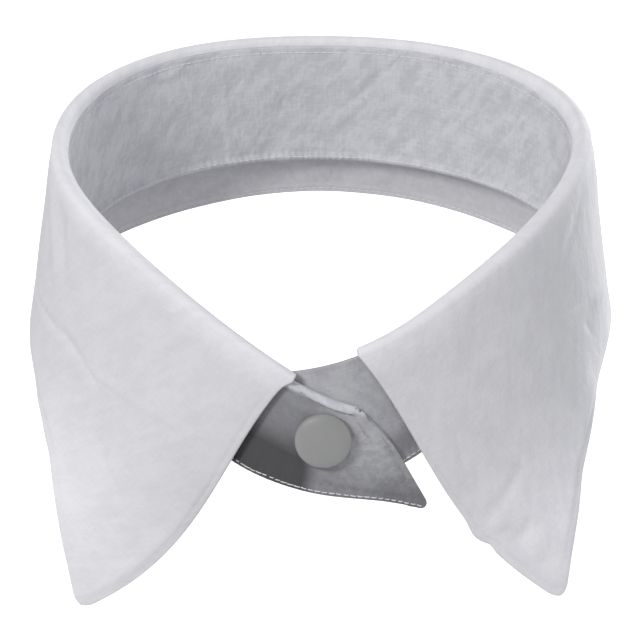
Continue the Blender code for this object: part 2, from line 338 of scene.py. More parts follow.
class Value:
    """A socket of a material's nodes, which sums and products take as they take a number."""

    def __init__(self, socket):
        self.socket = socket

    def node(self, kind, settings, sockets, output=0):
        """Adds a node of any kind: its settings first, then the values or links of its sockets."""
        tree = self.socket.id_data
        made = tree.nodes.new(kind)
        for name, value in settings.items():
            setattr(made, name, value)
        for name, value in sockets.items():
            if isinstance(value, Value):
                tree.links.new(value.socket, made.inputs[name])
            else:
                made.inputs[name].default_value = value
        return Value(made.outputs[output])

    def math(self, operation, first, second=0.0):
        return self.node("ShaderNodeMath", {"operation": operation}, {0: first, 1: second})

    def __add__(self, other):
        return self.math("ADD", self, other)

    def __sub__(self, other):
        return self.math("SUBTRACT", self, other)

    def __mul__(self, other):
        return self.math("MULTIPLY", self, other)

    __radd__ = __add__
    __rmul__ = __mul__

    def into(self, shader, name):
        """Links this value to the named socket of a shader."""
        self.socket.id_data.links.new(self.socket, shader.inputs[name])

    def mixed(self, first, second):
        """Colour between two others, by this value."""
        sockets = {0: self, 6: first, 7: second}
        return self.node("ShaderNodeMix", {"data_type": "RGBA"}, sockets, 2)

    def noise(self, scale, detail=2.0, roughness=0.5, grain=(1, 1, 1), turned=0.0):
        """Noise on this place. Its grain is drawn out by these factors, along axes turned by an angle."""
        sockets = {"Vector": self, "Rotation": (0, 0, turned), "Scale": grain}
        place = self.node("ShaderNodeMapping", {"vector_type": "TEXTURE"}, sockets)
        sockets = {"Vector": place, "Scale": scale, "Detail": detail, "Roughness": roughness}
        return self.node("ShaderNodeTexNoise", {}, sockets)

    def ramp(self, low, high):
        """0 up to low, 1 from high, and smooth between."""
        sockets = {"Value": self, "From Min": low, "From Max": high}
        return self.node("ShaderNodeMapRange", {"interpolation_type": "SMOOTHSTEP"}, sockets)


def finish_of(name, **constants):
    """A new material and its shader, with the constants set on the shader's own sockets."""
    made = bpy.data.materials.new(name)
    made.use_nodes = True
    shader = made.node_tree.nodes["Principled BSDF"]
    for socket, value in constants.items():
        shader.inputs[socket.replace("_", " ")].default_value = value
    return made, shader


WEAVE_PITCH = 0.36
WEAVE_HEIGHT = 0.014
THREAD_HEIGHT = 0.03
# How fine the unevenness of the threads is, and that of the wrinkles from small to large
SLUB_SCALE, CRUMPLE_SCALE, STREAK_SCALE, SOFT_SCALE = 1500, 560, 420, 150
# The grey that painted shade mixes into the cloth's colour
PAINTED_SHADE_GREY = (0.09, 0.09, 0.095, 1)


def cotton(name, light, dark, painted_shade, crumpled, streak_turn, streak_height, crumple_height, soft_height):
    """Plain-woven cotton on the flat cloth's own places: warp and weft, slubs, streaky wrinkles and
    crumples too small to model. Its colour is slightly uneven. Painted shade and crumpled say, for a place
    along and down the cloth, how far its colour is painted towards grey as shade and how many times it
    is more crumpled."""
    made, shader = finish_of(name, Roughness=0.88, Sheen_Weight=0.1, Sheen_Roughness=0.5,
                             Specular_IOR_Level=0.15)
    cloth = Value(made.node_tree.nodes.new("ShaderNodeUVMap").outputs[0])
    cloth.socket.node.uv_map = "cloth"
    along = cloth.node("ShaderNodeSeparateXYZ", {}, {0: cloth})
    down = Value(along.socket.node.outputs[1])
    slub_along = cloth.noise(SLUB_SCALE, 2, 0.6, grain=(6, 1, 1))
    slub_down = cloth.noise(SLUB_SCALE, 2, 0.6, grain=(1, 6, 1))
    per_thread = math.pi / (WEAVE_PITCH * MM)
    warp = along.math("SINE", along * per_thread + slub_down * 5)
    weft = down.math("SINE", down * per_thread + slub_along * 5)
    weave = warp * weft * 0.5 + 0.5
    threads = slub_along + slub_down
    streaks = cloth.noise(STREAK_SCALE, 3, 0.6, grain=(1, 4, 1), turned=streak_turn)
    crumple = cloth.noise(CRUMPLE_SCALE, 3, 0.55, grain=(1, 1.3, 1), turned=streak_turn + 0.5)
    soft = cloth.noise(SOFT_SCALE, 3, 0.55, grain=(1, 1.25, 1), turned=streak_turn)
    more = crumpled(along, down)
    relief = weave * WEAVE_HEIGHT + threads * THREAD_HEIGHT
    relief = relief + streaks * streak_height + crumple * more * crumple_height + soft * soft_height
    bump = cloth.node("ShaderNodeBump", {}, {"Strength": 1.0, "Distance": MM, "Height": relief})
    bump.into(shader, "Normal")
    patchy = (streaks * 0.5 + soft * 0.6 + threads * 0.3 + (crumple - 0.5) * (more - 1) * 0.2).ramp(0.7, 1.0)
    clean = patchy.mixed((*dark, 1), (*light, 1))
    # The colour is painted towards grey where the painted shade mask says so
    painted_shade(along, down).mixed(clean, PAINTED_SHADE_GREY).into(shader, "Base Color")
    (0.82 + soft * 0.12).into(shader, "Roughness")
    return made


BAND_SECTIONS = 1080
STITCH_PITCH = 1.7
LOWER_ROW = 1.25
UPPER_ROW = 1.6


def between(first, count):
    """Even steps from 0 to 1, after a first and before a last that are this wide."""
    return np.concatenate([[0], np.linspace(first, 1 - first, count - 2), [1]])


# Steps down the band, closer beside its two sewn rows
down_steps = np.concatenate([[0], np.linspace(0.024, 0.15, 9), np.linspace(0.15, 0.86, 17)[1:-1],
                             np.linspace(0.86, 0.984, 10), [1]])
across, down = np.meshgrid(between(0.0021, BAND_SECTIONS), down_steps)
turns = band_turn(across, down)
band_middle = band_point(turns, down)
band_down = reach(band_middle, 0)
band_height = band_down[-1:]
band_along = reach(band_middle, 1)
centre_column = int(np.argmin(np.abs(turns[len(down_steps) // 2])))
band_along = band_along - band_along[:, centre_column:centre_column + 1]
tab_way = band_along - band_along[:, :1]
lap_way = band_along[:, -1:] - band_along

# Ridges and troughs on the band. Their ends are places along it from centre back, minus on the tab's
# side, and down from its top edge. Height is outwards, so a ridge on the inner face has a minus.
CREASE_COLUMNS = ("from along", "from down", "to along", "to down", "width", "height", "aside")
BAND_CREASES = (
    # the pressed line, and streaks that lean across the back
    (-25.6, 1.0, -24.8, 29.3, 0.8, -0.24, 0.0),
    (-23.9, 14.1, -16.4, 4.3, 0.7, -0.24, 0.3),
    (-18.3, 23.9, -7.1, 3.3, 0.9, -0.24, 0.5),
    (-12.8, 23.3, -9.0, 13.0, 1.0, 0.27, 0.2),
    (-5.0, 22.8, 0.0, 18.4, 1.0, 0.32, 0.1),
    (4.1, 18.4, 20.7, 2.2, 1.2, 0.48, 0.5),
    (7.2, 17.9, 19.9, 4.3, 0.6, -0.29, 0.3),
    (19.2, 28.8, 28.4, 18.5, 1.1, 0.36, 0.3),
    (26.8, 26.1, 39.8, 11.9, 1.2, 0.41, 0.3),
    (31.3, 26.1, 48.4, 1.1, 0.8, -0.33, 0.4),
    (42.3, 29.2, 59.7, 2.1, 0.45, 0.36, 0.5),
    (43.4, 29.2, 61.3, 2.1, 0.6, -0.29, 0.5),
    (50.8, 4.3, 53.7, 7.5, 1.5, 0.33, 0.2),
    (62.6, 4.8, 68.5, 6.3, 1.2, 0.33, 0.2),
    (-59.9, 2.7, -57.1, 8.1, 1.6, 0.43, 0.3),
    (-49.6, 16.2, -28.3, 11.9, 1.0, -0.33, -1.0),
    (-46.7, 4.9, -34.3, 5.4, 1.2, 0.39, 0.5),
    (-44.0, 4.3, -38.1, 2.7, 1.0, -0.29, 0.3),
    (-46.5, 25.4, -38.6, 22.2, 1.6, 0.29, 0.3),
    (-68.0, 5.3, -64.0, 4.3, 1.4, 0.29, 0.2),
    # the sides and front, where the photograph shows little of the inner face
    (-92, 24, -80, 8, 1.3, 0.15, 0.6),
    (-104, 6, -96, 23, 1.1, -0.13, -0.5),
    (-121, 22, -112, 7, 1.4, 0.16, 0.4),
    (-138, 5, -131, 21, 1.0, -0.12, 0.5),
    (-156, 22, -149, 6, 1.2, 0.14, -0.4),
    (80, 24, 93, 8, 1.2, -0.14, 0.6),
    (97, 6, 104, 22, 1.4, 0.15, -0.5),
    (114, 23, 124, 7, 1.1, -0.12, 0.4),
    (136, 6, 143, 22, 1.3, 0.14, 0.5),
    (153, 22, 163, 8, 1.0, -0.12, -0.4),
    # the tab, puckered between the button and its end
    (-205.6, 2.9, -221.0, 26.7, 0.8, 0.33, 0.2),
    (-207.3, 1.5, -222.6, 26.2, 0.6, -0.30, 0.2),
    (-204.2, 6.7, -208.7, 9.1, 0.5, -0.36, 0.6),
    (-205.5, 9.0, -209.8, 6.4, 0.5, 0.36, 0.5),
    (-208.6, 11.7, -213.0, 13.0, 0.6, -0.30, 0.3),
    (-210.1, 15.5, -214.7, 15.6, 0.6, 0.30, 0.3),
    (-212.1, 18.7, -216.8, 19.4, 0.6, -0.30, 0.3),
    (-213.9, 21.9, -218.8, 22.3, 0.7, 0.30, 0.2),
    (-198.6, 24.5, -217.4, 26.4, 1.2, 0.30, 0.5),
    (-188.0, 20.1, -193.9, 22.0, 1.4, -0.24, 0.4),
    (-192.5, 1.9, -205.1, 3.4, 1.2, -0.33, 0.2),
    (186.6, 6.2, 182.9, 11.7, 1.2, 0.30, 0.3),
    (185.1, 12.3, 182.8, 23.6, 1.3, -0.33, 0.5),
    (183.5, 18.2, 183.4, 26.5, 1.0, 0.27, 0.3),
)
gentle = 0.09 * np.sin(band_along / 5.1 + band_down / 4.3) * np.sin(band_along / 11.0 + 0.6)
small_waves = np.sin(band_along / 3.1 + band_down / 2.6 + 1.3)
gentle += 0.07 * small_waves * np.sin(band_along / 8.3 - band_down / 6.0 + 2.0)
from_seam = np.clip(band_down / 3, 0, 1)
seam_fade = from_seam ** 2 * (3 - 2 * from_seam)
band_bend = (gentle + creases(band_along, band_down, BAND_CREASES)) * seam_fade


def beside(way, row, width):
    """How near a place is to a row of stitches or another line, from 0 to 1."""
    return np.exp(-((way - row) / width) ** 2)


from_low = band_height - band_down
to_edge = np.minimum(from_low, np.minimum(tab_way, lap_way))
puckers = ripple(band_along, STITCH_PITCH, 0.5)
wide_puckers = ripple(band_along + 3, 4.3, 0.8)
low_swell = (0.62 + 0.2 * puckers) * beside(from_low, 1.0, 0.75)
low_swell += (0.07 * puckers - 0.06) * beside(to_edge, LOWER_ROW + 1.3, 0.6)
low_swell += 0.035 * wide_puckers * beside(to_edge, LOWER_ROW + 2, 2.2)
top_swell = -0.1 * beside(band_down, UPPER_ROW, 0.5)
top_swell += 0.05 * puckers * beside(band_down, UPPER_ROW + 0.4, 0.8)
band_swell = low_swell + top_swell
band_points = band_middle + facing(band_middle) * band_bend[..., None]
band_face = facing(band_points)
# The turned edge's section, as shares of the wall and ways beyond the last row of points, which is set
# back by about as much. A groove parts the two plies.
TURNED_EDGE = ((0.04, 0.2), (0.2, 0.3), (0.36, 0.28), (0.5, 0.12), (0.64, 0.28), (0.8, 0.3), (0.96, 0.2))
SET_BACK = 0.28
half_band = BAND_WALL / 2 + band_swell
# Both plies are turned in along the tab's free top edge, which rolls over in two ridges
tab_top_edge = 1.2 * beside(band_down, 1.9, 0.95) + 0.3 * beside(band_down, 0.5, 0.4)
tab_top_edge *= np.clip((-188 - band_along) / 2, 0, 1) * np.clip((tab_way - 0.5) / 3, 0, 1)
band_place = np.stack([band_along, band_down], -1)
loop, away = rim_directions(band_points)
band_points[loop[:, 0], loop[:, 1]] -= away * SET_BACK
band = cloth_shell("sewn_band", band_points, half_band + tab_top_edge, half_band, band_place, TURNED_EDGE)

# The buttonhole, a slot with round ends, is cut through the tab
BUTTON_TURN = -179.4
BUTTON_DOWN = 0.42
HOLE_LENGTH, HOLE_WIDTH, HOLE_DEPTH = 9.0, 2.6, 1.8
HOLE_STEPS = 25
TAB_RADIUS = 59


def button_place():
    """Matrix of the button: Z out of the tab, X along it, at the tab's outer face."""
    turn, down = np.array(BUTTON_TURN), np.array(BUTTON_DOWN)
    here = Vector(band_point(turn, down))
    along = (Vector(band_point(turn - 1, down)) - here).normalized()
    below = (Vector(band_point(turn, down + 0.05)) - here).normalized()
    outward = along.cross(-below).normalized()
    if outward.dot(Vector(roll_frame(turn)[2])) < 0:
        outward = -outward
    place = Matrix((along, outward.cross(along), outward)).transposed().to_4x4()
    place.translation = (here + outward * BAND_WALL / 2) * MM
    return place


hole_steps = HOLE_LENGTH / 2 * np.sin(np.linspace(-1.5, 1.5, HOLE_STEPS))
half_round, half_hole = HOLE_WIDTH / 2, (HOLE_LENGTH - HOLE_WIDTH) / 2
half_width = np.sqrt(half_round ** 2 - np.clip(np.abs(hole_steps) - half_hole, 0, None) ** 2)
hole_level = -BAND_WALL / 2 - hole_steps ** 2 / (2 * TAB_RADIUS)
corners = [np.stack([hole_steps, half_width * side, hole_level + HOLE_DEPTH / 2 * face], -1)
           for side, face in ((-1, 1), (1, 1), (1, -1), (-1, -1))]
index = np.arange(4 * HOLE_STEPS).reshape(4, HOLE_STEPS)
walls = [(index[k, i], index[k, i + 1], index[(k + 1) % 4, i + 1], index[(k + 1) % 4, i])
         for k in range(4) for i in range(HOLE_STEPS - 1)]
walls += [tuple(index[:, 0]), tuple(index[::-1, -1])]
slot_mesh = bpy.data.meshes.new("buttonhole_slot")
slot_mesh.from_pydata((np.concatenate(corners) * MM).tolist(), [], walls)
slot_mesh.transform(button_place())
slot = bpy.data.objects.new("buttonhole_slot", slot_mesh)
bpy.context.scene.collection.objects.link(slot)
cut = band.modifiers.new("buttonhole", "BOOLEAN")
cut.operation, cut.solver, cut.object = "DIFFERENCE", "EXACT", slot
holed = bpy.data.meshes.new_from_object(band.evaluated_get(bpy.context.evaluated_depsgraph_get()))
band.modifiers.remove(cut)
band.data = holed
bpy.data.objects.remove(slot)


def tab_painted_shade(along, down):
    """Painted shade on the tab: its colour is painted grey all over except its top edge, most of all in a
    painted shadow of the leaf beside it, which widens downwards, along its lower edge and at its end.
    The underlap is painted a little grey as shade too, and more at its lower corner."""
    on_tab = along.ramp(-0.174, -0.178) * down.ramp(0.0026, 0.0040)
    # A painted shadow of the leaf on the tab, darker lower down
    painted_leaf_shadow = along.ramp(-0.2015, -0.1955) * (0.42 + 0.26 * down.ramp(0.004, 0.026))
    # Painted shade along the tab's lower edge
    painted_edge_shade = (down + along * 0.146).ramp(-0.0145, -0.0030)
    # Painted shade on the underlap, more at its lower corner
    on_lap, painted_lap_corner_shade = along.ramp(0.170, 0.176), along.ramp(0.176, 0.180) * down.ramp(0.0195, 0.0245)
    tip = along.ramp(-0.211, -0.218)
    # Painted shade on the tab: a base grey, the leaf's painted shadow, the lower edge and the end
    tab = on_tab * (0.36 + 0.62 * painted_leaf_shadow + 0.3 * painted_edge_shade + 0.12 * tip)
    return tab + 0.33 * on_lap + 0.3 * painted_lap_corner_shade


def tab_crumpled(along, down):
    """The tab's end is crumpled by the hands that button it."""
    return 1 + 5 * along.ramp(-0.196, -0.205)


# The band's colours are painted darker than the leaf's, though both are the same cotton: painted shade
band_cloth = cotton("band_cloth", (0.74, 0.74, 0.775), (0.61, 0.61, 0.65), tab_painted_shade, tab_crumpled,
                    math.radians(38), 0.12, 0.08, 0.8)
band.data.materials.append(band_cloth)
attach(band, "root")
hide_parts("collar_band")


# Leaf: the outer collar, a doubled and turned piece of the same cotton, sewn to the band's top edge.
# It rolls over the band and hangs outside it, and ends in two long points. Its stitches show only on
# its underside.

LEAF_WALL = 1.1
LEAF_SECTIONS = 480
HEM_ROW = 1.1
CLOSER_AT_POINTS = 0.7
BOW_SKEW = 1.0
TUCKED_IN = 0.5


def leaf_point(turn, travel):
    """Points on the middle of the leaf's wall. Travel runs up from the seam (0 to 1), over the
    roll (1 to 2) and down to the hem (2 to 3)."""
    axis, forward, out, down = roll_frame(turn)
    forward = forward * np.sign(turn)[..., None]
    roll = leaf_value("roll", turn)
    rise = (leaf_value("rise", turn) + TUCKED_IN) * np.clip(1 - travel, 0, 1)
    angle = np.pi * np.clip(travel - 1, 0, 1)
    fallen = np.clip(travel - 2, 0, 1)
    bow = leaf_value("bow", turn) * 4 * fallen * (1 - fallen) * (1 + BOW_SKEW * (2 * fallen - 1))
    level = -roll * np.cos(angle) + leaf_value("flare", turn) * fallen
    swing = leaf_value("swing", turn) * fallen + bow
    up = roll * np.sin(angle) - rise
    points = axis + out * level[..., None] + forward * swing[..., None]
    return points + down * (leaf_value("fall", turn) * fallen)[..., None] + UPRIGHT * up[..., None]


travel_steps = np.concatenate([[0, 0.5], np.linspace(1, 2, 11)[:-1], np.linspace(2, 2.93, 60)[:-1],
                               np.linspace(2.93, 2.988, 7), [3]])
across, travel = np.meshgrid(between(0.006, LEAF_SECTIONS), travel_steps)
eased = across - CLOSER_AT_POINTS * np.sin(2 * np.pi * across) / (2 * np.pi)
leaf_turn = LEAF_ROWS[0][0] + (LEAF_ROWS[-1][0] - LEAF_ROWS[0][0]) * eased
leaf_middle = leaf_point(leaf_turn, travel)
leaf_down = reach(leaf_middle, 0)
leaf_along = reach(leaf_middle, 1)
leaf_half = leaf_along[:, LEAF_SECTIONS // 2:LEAF_SECTIONS // 2 + 1]
to_front = np.minimum(leaf_along, leaf_along[:, -1:] - leaf_along)
leaf_along = leaf_along - leaf_half
to_hem = leaf_down[-1:] - leaf_down

# Ridges and troughs on the leaf, read as the band's are, but down from the seam. Height is outwards.
LEAF_CREASES = (
    # the tab's side: a soft ridge below the roll, and a fold that runs on as a fine line to the front
    (-112.7, 9.0, -130.9, 25.9, 1.8, 0.66, 0.3),
    (-118.5, 6.8, -134.5, 23.8, 1.8, -0.51, 0.3),
    (-111.4, 38.3, -143.2, 35.0, 1.0, -0.55, 0.5),
    (-138.8, 33.9, -160.0, 38.3, 1.1, -0.61, 1.0),
    (-151.4, 35.4, -187.8, 27.8, 0.6, 0.30, -1.5),
    (-164.3, 46.1, -181.2, 53.0, 1.2, -0.46, -1.0),
    (-169.1, 45.0, -183.4, 52.1, 1.4, 0.30, -1.0),
    (-148.9, 27.6, -160.1, 9.9, 2.0, 0.26, 1.0),
    (-170.5, 16.6, -178.9, 3.0, 1.6, 0.26, 1.0),
    # the underlap's side: soft streaks below the roll, and the dent above the point
    (116.4, 11.1, 132.0, 16.7, 1.6, -0.27, 0.5),
    (120.7, 8.2, 138.6, 14.9, 1.8, 0.27, 0.8),
    (121.4, 4.7, 141.0, 9.6, 1.8, -0.22, 0.8),
    (117.2, 34.7, 138.4, 29.6, 0.9, -0.34, 0.5),
    (111.1, 39.5, 126.5, 35.7, 2.5, 0.51, 0.3),
    (133.3, 36.9, 130.7, 42.0, 1.2, -0.26, 0.2),
    (182.9, 31.2, 186.6, 40.4, 0.8, -0.20, 0.2),
    (184.6, 26.6, 187.0, 34.3, 1.2, 0.17, 0.2),
    (174.2, 49.5, 188.1, 54.3, 1.5, -0.54, 0.5),
    (185.9, 56.3, 190.2, 57.4, 1.8, 0.58, 0.3),
    (181.0, 61.9, 187.9, 63.6, 1.6, -0.61, 0.4),
    (182.6, 67.1, 190.5, 69.3, 2.2, 0.48, 0.3),
    (173.5, 23.2, 160.3, 24.9, 2.2, 0.17, 0.8),
    # the back, whose underside shows below the band
    (-16.2, 39.2, -5.0, 45.1, 0.6, -0.22, -0.5),
    (-14.6, 39.1, -6.6, 42.8, 0.5, 0.22, -0.4),
    (-22.7, 42.5, -16.2, 40.7, 1.6, -0.36, 0.3),
    (-6.6, 45.7, 1.6, 40.0, 1.8, -0.40, 0.5),
    (1.7, 46.8, 8.1, 40.1, 1.5, 0.36, 0.5),
    (-44.4, 45.4, -38.3, 41.3, 1.6, -0.36, 0.3),
    (-32.4, 45.6, -22.8, 42.0, 1.4, 0.36, 0.3),
    (13.1, 45.3, 19.2, 40.1, 1.6, -0.32, 0.4),
    (27.1, 45.1, 35.7, 40.3, 1.8, -0.32, 0.3),
    (40.3, 45.8, 49.2, 42.0, 1.5, 0.29, 0.3),
    (-95, 12, -78, 30, 2.0, 0.22, 0.8),
    (-70, 34, -52, 22, 1.6, -0.2, 0.6),
    (-36, 10, -28, 32, 1.8, 0.2, -0.8),
    (-8, 14, 12, 28, 1.5, -0.18, 0.6),
    (26, 30, 40, 12, 1.9, 0.22, 0.8),
    (58, 14, 70, 34, 1.6, -0.2, -0.6),
    (84, 32, 98, 14, 2.0, 0.2, 0.7),
)
gentle = 0.2 * np.sin(leaf_along / 9.0 + leaf_down / 12.0) * np.sin(leaf_along / 23.0 + 0.4)
small_waves = np.sin(leaf_along / 4.3 - leaf_down / 5.1 + 0.9)
gentle += 0.07 * small_waves * np.sin(leaf_down / 9.0 + leaf_along / 14.0)
seam_fade = np.clip((leaf_down - 5) / 6, 0, 1) ** 2
to_edge = np.minimum(to_front, to_hem)
leaf_bend = (gentle + creases(leaf_along, leaf_down, LEAF_CREASES)) * seam_fade

# Fine lines along the roll, which is tighter on the underlap's side
ROLL_LINES = (
    (14, 2.2, 82, 3.0, 0.28, -0.06, 0.2),
    (22, 3.3, 90, 4.2, 0.28, -0.06, 0.2),
    (30, 1.4, 60, 1.9, 0.25, -0.04, 0.1),
)
leaf_bend += creases(leaf_along, leaf_down, ROLL_LINES)

# The edges roll back to a narrow lip, which a groove sets off. Both are deeper towards the points.
LIP_START, LIP_GROWS, LIP_WIDTH, GROOVE_IN = 30.0, 14, 0.78, 1.6
lip = np.clip((leaf_down - LIP_START) / LIP_GROWS, 0, 1)
rolled_back = (0.05 + 0.55 * lip) * beside(to_edge, 0, LIP_WIDTH)
groove = (0.12 + 0.3 * lip) * beside(to_edge, GROOVE_IN, 0.5)
leaf_bend -= (rolled_back + groove) * seam_fade

# One place of the underlap's front edge is nipped in, just below a small bulge
NIP_DOWN, NIP_BULGE, NIP_IN = 59.5, 1.0, 0.5
nip = NIP_BULGE * beside(leaf_down, NIP_DOWN - 3.2, 3.0) - NIP_IN * beside(leaf_down, NIP_DOWN + 1.5, 1.6)
front_shift = nip * np.exp(-to_front / 5) * (leaf_along > 0)
# The tab's front edge reaches a little further over the tab just below the roll
FRONT_REACH, REACH_DOWN = 1.5, 2.5
front_shift -= FRONT_REACH * beside(leaf_down, REACH_DOWN, 2.8) * np.exp(-to_front / 6) * (leaf_along < 0)
forward = unit(np.gradient(leaf_middle, axis=1))
leaf_middle = leaf_middle + forward * front_shift[..., None]

# The points are turned out blunt: each reaches a little further, and its corner is rounded. The hem
# runs in a little beside each point.
POINT_ROUND, POINT_REACH = 4.2, 1.9
HEM_IN, HEM_IN_AT, HEM_IN_WIDTH = 1.3, 13, 15
from_front = forward * np.sign(-leaf_along)[..., None]
from_hem = -unit(np.gradient(leaf_middle, axis=0))
hem_in = HEM_IN * beside(to_front, HEM_IN_AT, HEM_IN_WIDTH) * np.exp(-to_hem / 12)
leaf_middle += from_hem * hem_in[..., None]
reaching = POINT_REACH * np.exp(-(to_front + to_hem) / 14)
leaf_middle -= unit(from_front + from_hem) * reaching[..., None]
short_front, short_hem = (np.clip(POINT_ROUND - way, 0, None) for way in (to_front, to_hem))
drawn_in = 1 - np.maximum(short_front, short_hem) / np.maximum(np.hypot(short_front, short_hem), 1e-9)
leaf_middle += from_front * (short_front * drawn_in)[..., None] + from_hem * (short_hem * drawn_in)[..., None]
leaf_points = leaf_middle + facing(leaf_middle) * leaf_bend[..., None]
leaf_thick = LEAF_WALL / 2 + 0.05 * beside(to_edge, 3.0, 2.0)
hem_puckers = ripple(leaf_along, STITCH_PITCH, 0.5)
leaf_under = leaf_thick + (0.05 * hem_puckers - 0.14) * beside(to_edge, HEM_ROW, 0.5)
leaf_place = np.stack([leaf_along, leaf_down], -1)
LEAF_EDGE = ((0.05, 0.2), (0.25, 0.34), (0.5, 0.38), (0.75, 0.34), (0.95, 0.2))
LEAF_SET_BACK = 0.36
loop, away = rim_directions(leaf_points)
leaf_points[loop[:, 0], loop[:, 1]] -= away * LEAF_SET_BACK
leaf = cloth_shell("turned_leaf", leaf_points, leaf_thick, leaf_under, leaf_place, LEAF_EDGE)


def leaf_hem(along, down):
    """1 near the hem of the back, whose underside shows below the band and is more crumpled."""
    return along.ramp(-0.115, -0.095) * along.ramp(0.115, 0.095) * down.ramp(0.034, 0.039)


def leaf_painted_shade(along, down):
    """Painted shade: the leaf's colour is painted greyer below the roll and at the hem of the back, under
    the band, than on the roll and towards the points, as the light falls on it.
    """
    # Painted shade below the roll, fading towards the points, and at the back's hem
    return 0.16 * down.ramp(0.072, 0.036) * down.ramp(0.003, 0.012) + 0.14 * leaf_hem(along, down)


def leaf_crumpled(along, down):
    """Only the hem of the back is crumpled."""
    return 1 + 4 * leaf_hem(along, down)


# The leaf's colours are painted lighter than the band's, though both are the same cotton: painted light
leaf_cloth = cotton("leaf_cloth", (0.92, 0.915, 0.95), (0.86, 0.855, 0.895), leaf_painted_shade, leaf_crumpled,
                    math.radians(-35), 0.05, 0.08, 0.4)
leaf.data.materials.append(leaf_cloth)
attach(leaf, "root")
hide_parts("collar_leaf")


# Button: a plain moulded dome with no holes in its face, sewn on under it by a shank, which comes
# through the buttonhole in the tab.

BUTTON_RADIUS = 6.4
BUTTON_RIM = 1.4
BUTTON_DOME = 1.9
BUTTON_SEAT = 0.3
SHANK_RADIUS = 1.0
BUTTON_SECTIONS = 96


def behind_button():
    """Turn and share down the underlap of the place level with the button."""
    turn = np.array(BUTTON_TURN + 360)
    top, foot = band_point(turn, np.array(0.0))[2], band_point(turn, np.array(1.0))[2]
    return turn, (band_point(np.array(BUTTON_TURN), np.array(BUTTON_DOWN))[2] - top) / (foot - top)


def shank_reach():
    """Way from the tab's inner face to just above the underlap's outer face, at the button."""
    tab = band_point(np.array(BUTTON_TURN), np.array(BUTTON_DOWN))
    turn, share = behind_button()
    under = band_point(turn, share)
    apart = (np.hypot(*tab[:2]) - np.hypot(*under[:2])) * np.cos(np.radians(band_value("lean", turn)))
    return float(apart) - BAND_WALL - SEAM_GAP


def turned_dome(name, profile, sections):
    """A closed form turned about Z from half a section, whose first and last points are on the axis."""
    angles = np.linspace(0, 2 * np.pi, sections, endpoint=False)
    rings = [[(r * math.cos(a), r * math.sin(a), z) for a in angles] for r, z in profile[1:-1]]
    verts = [(0, 0, profile[0][1])] + [v for ring in rings for v in ring] + [(0, 0, profile[-1][1])]
    faces = [(0, 1 + k, 1 + (k + 1) % sections) for k in range(sections)]
    for row in range(len(rings) - 1):
        first = 1 + row * sections
        for k in range(sections):
            nxt = (k + 1) % sections
            faces.append((first + k, first + sections + k, first + sections + nxt, first + nxt))
    last, final = 1 + (len(rings) - 1) * sections, len(verts) - 1
    faces += [(last + (k + 1) % sections, last + k, final) for k in range(sections)]
    mesh = bpy.data.meshes.new(name)
    mesh.from_pydata([tuple(c * MM for c in v) for v in verts], [], faces)
    mesh.shade_smooth()
    piece = bpy.data.objects.new(name, mesh)
    bpy.context.scene.collection.objects.link(piece)
    return piece


dome = [(BUTTON_RADIUS * math.sin(a), BUTTON_RIM + BUTTON_DOME * math.cos(a))
        for a in np.linspace(0, math.pi / 2, 26)]
lower_rim = [(BUTTON_RADIUS - 0.12 - 0.78 * t, BUTTON_RIM - 0.9 - 0.5 * math.sqrt(t))
             for t in (0.0, 0.1, 0.3, 0.6, 1.0)]
foot = BUTTON_SEAT + BAND_WALL + shank_reach()
shank = [(SHANK_RADIUS + 0.25, 0.0), (SHANK_RADIUS, -0.3), (SHANK_RADIUS, -foot + 0.1),
         (SHANK_RADIUS - 0.1, -foot), (0.0, -foot)]
profile = [(r, z + BUTTON_SEAT) for r, z in dome + [(BUTTON_RADIUS - 0.02, 1.0)] + lower_rim + shank]
button = turned_dome("domed_button", profile, BUTTON_SECTIONS)
button.data.transform(button_place())
button_finish, shader = finish_of("moulded_button", Roughness=0.42, Specular_IOR_Level=0.4,
                                  Subsurface_Weight=0.08, Subsurface_Scale=0.002)
moulded = Value(button_finish.node_tree.nodes.new("ShaderNodeTexCoord").outputs["Object"])
cloud = moulded.noise(260, 2, 0.5)
scuffs = moulded.noise(2600, 3, 0.6)
cloud.mixed((0.30, 0.30, 0.30, 1), (0.34, 0.34, 0.338, 1)).into(shader, "Base Color")
(0.36 + scuffs * 0.14).into(shader, "Roughness")
uneven = cloud + scuffs * 0.1
dimple = moulded.node("ShaderNodeBump", {}, {"Strength": 0.3, "Distance": 0.0001, "Height": uneven})
dimple.into(shader, "Normal")
button.data.materials.append(button_finish)
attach(button, "root")
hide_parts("button")


# Stitches: short cotton threads, drawn a little into the cloth. A lockstitch row runs along the band's
# lower edge, and inside round its ends too. Another holds the seam inside, one runs along the leaf's
# edges on its underside, and close ones bind the buttonhole.

THREAD_RADIUS = 0.15
STITCH_LENGTH = 1.42
STITCH_RISE = 0.1
STITCH_UNEVEN = 0.18
STITCH_TILT = (0.05, 0.04, 0.12)


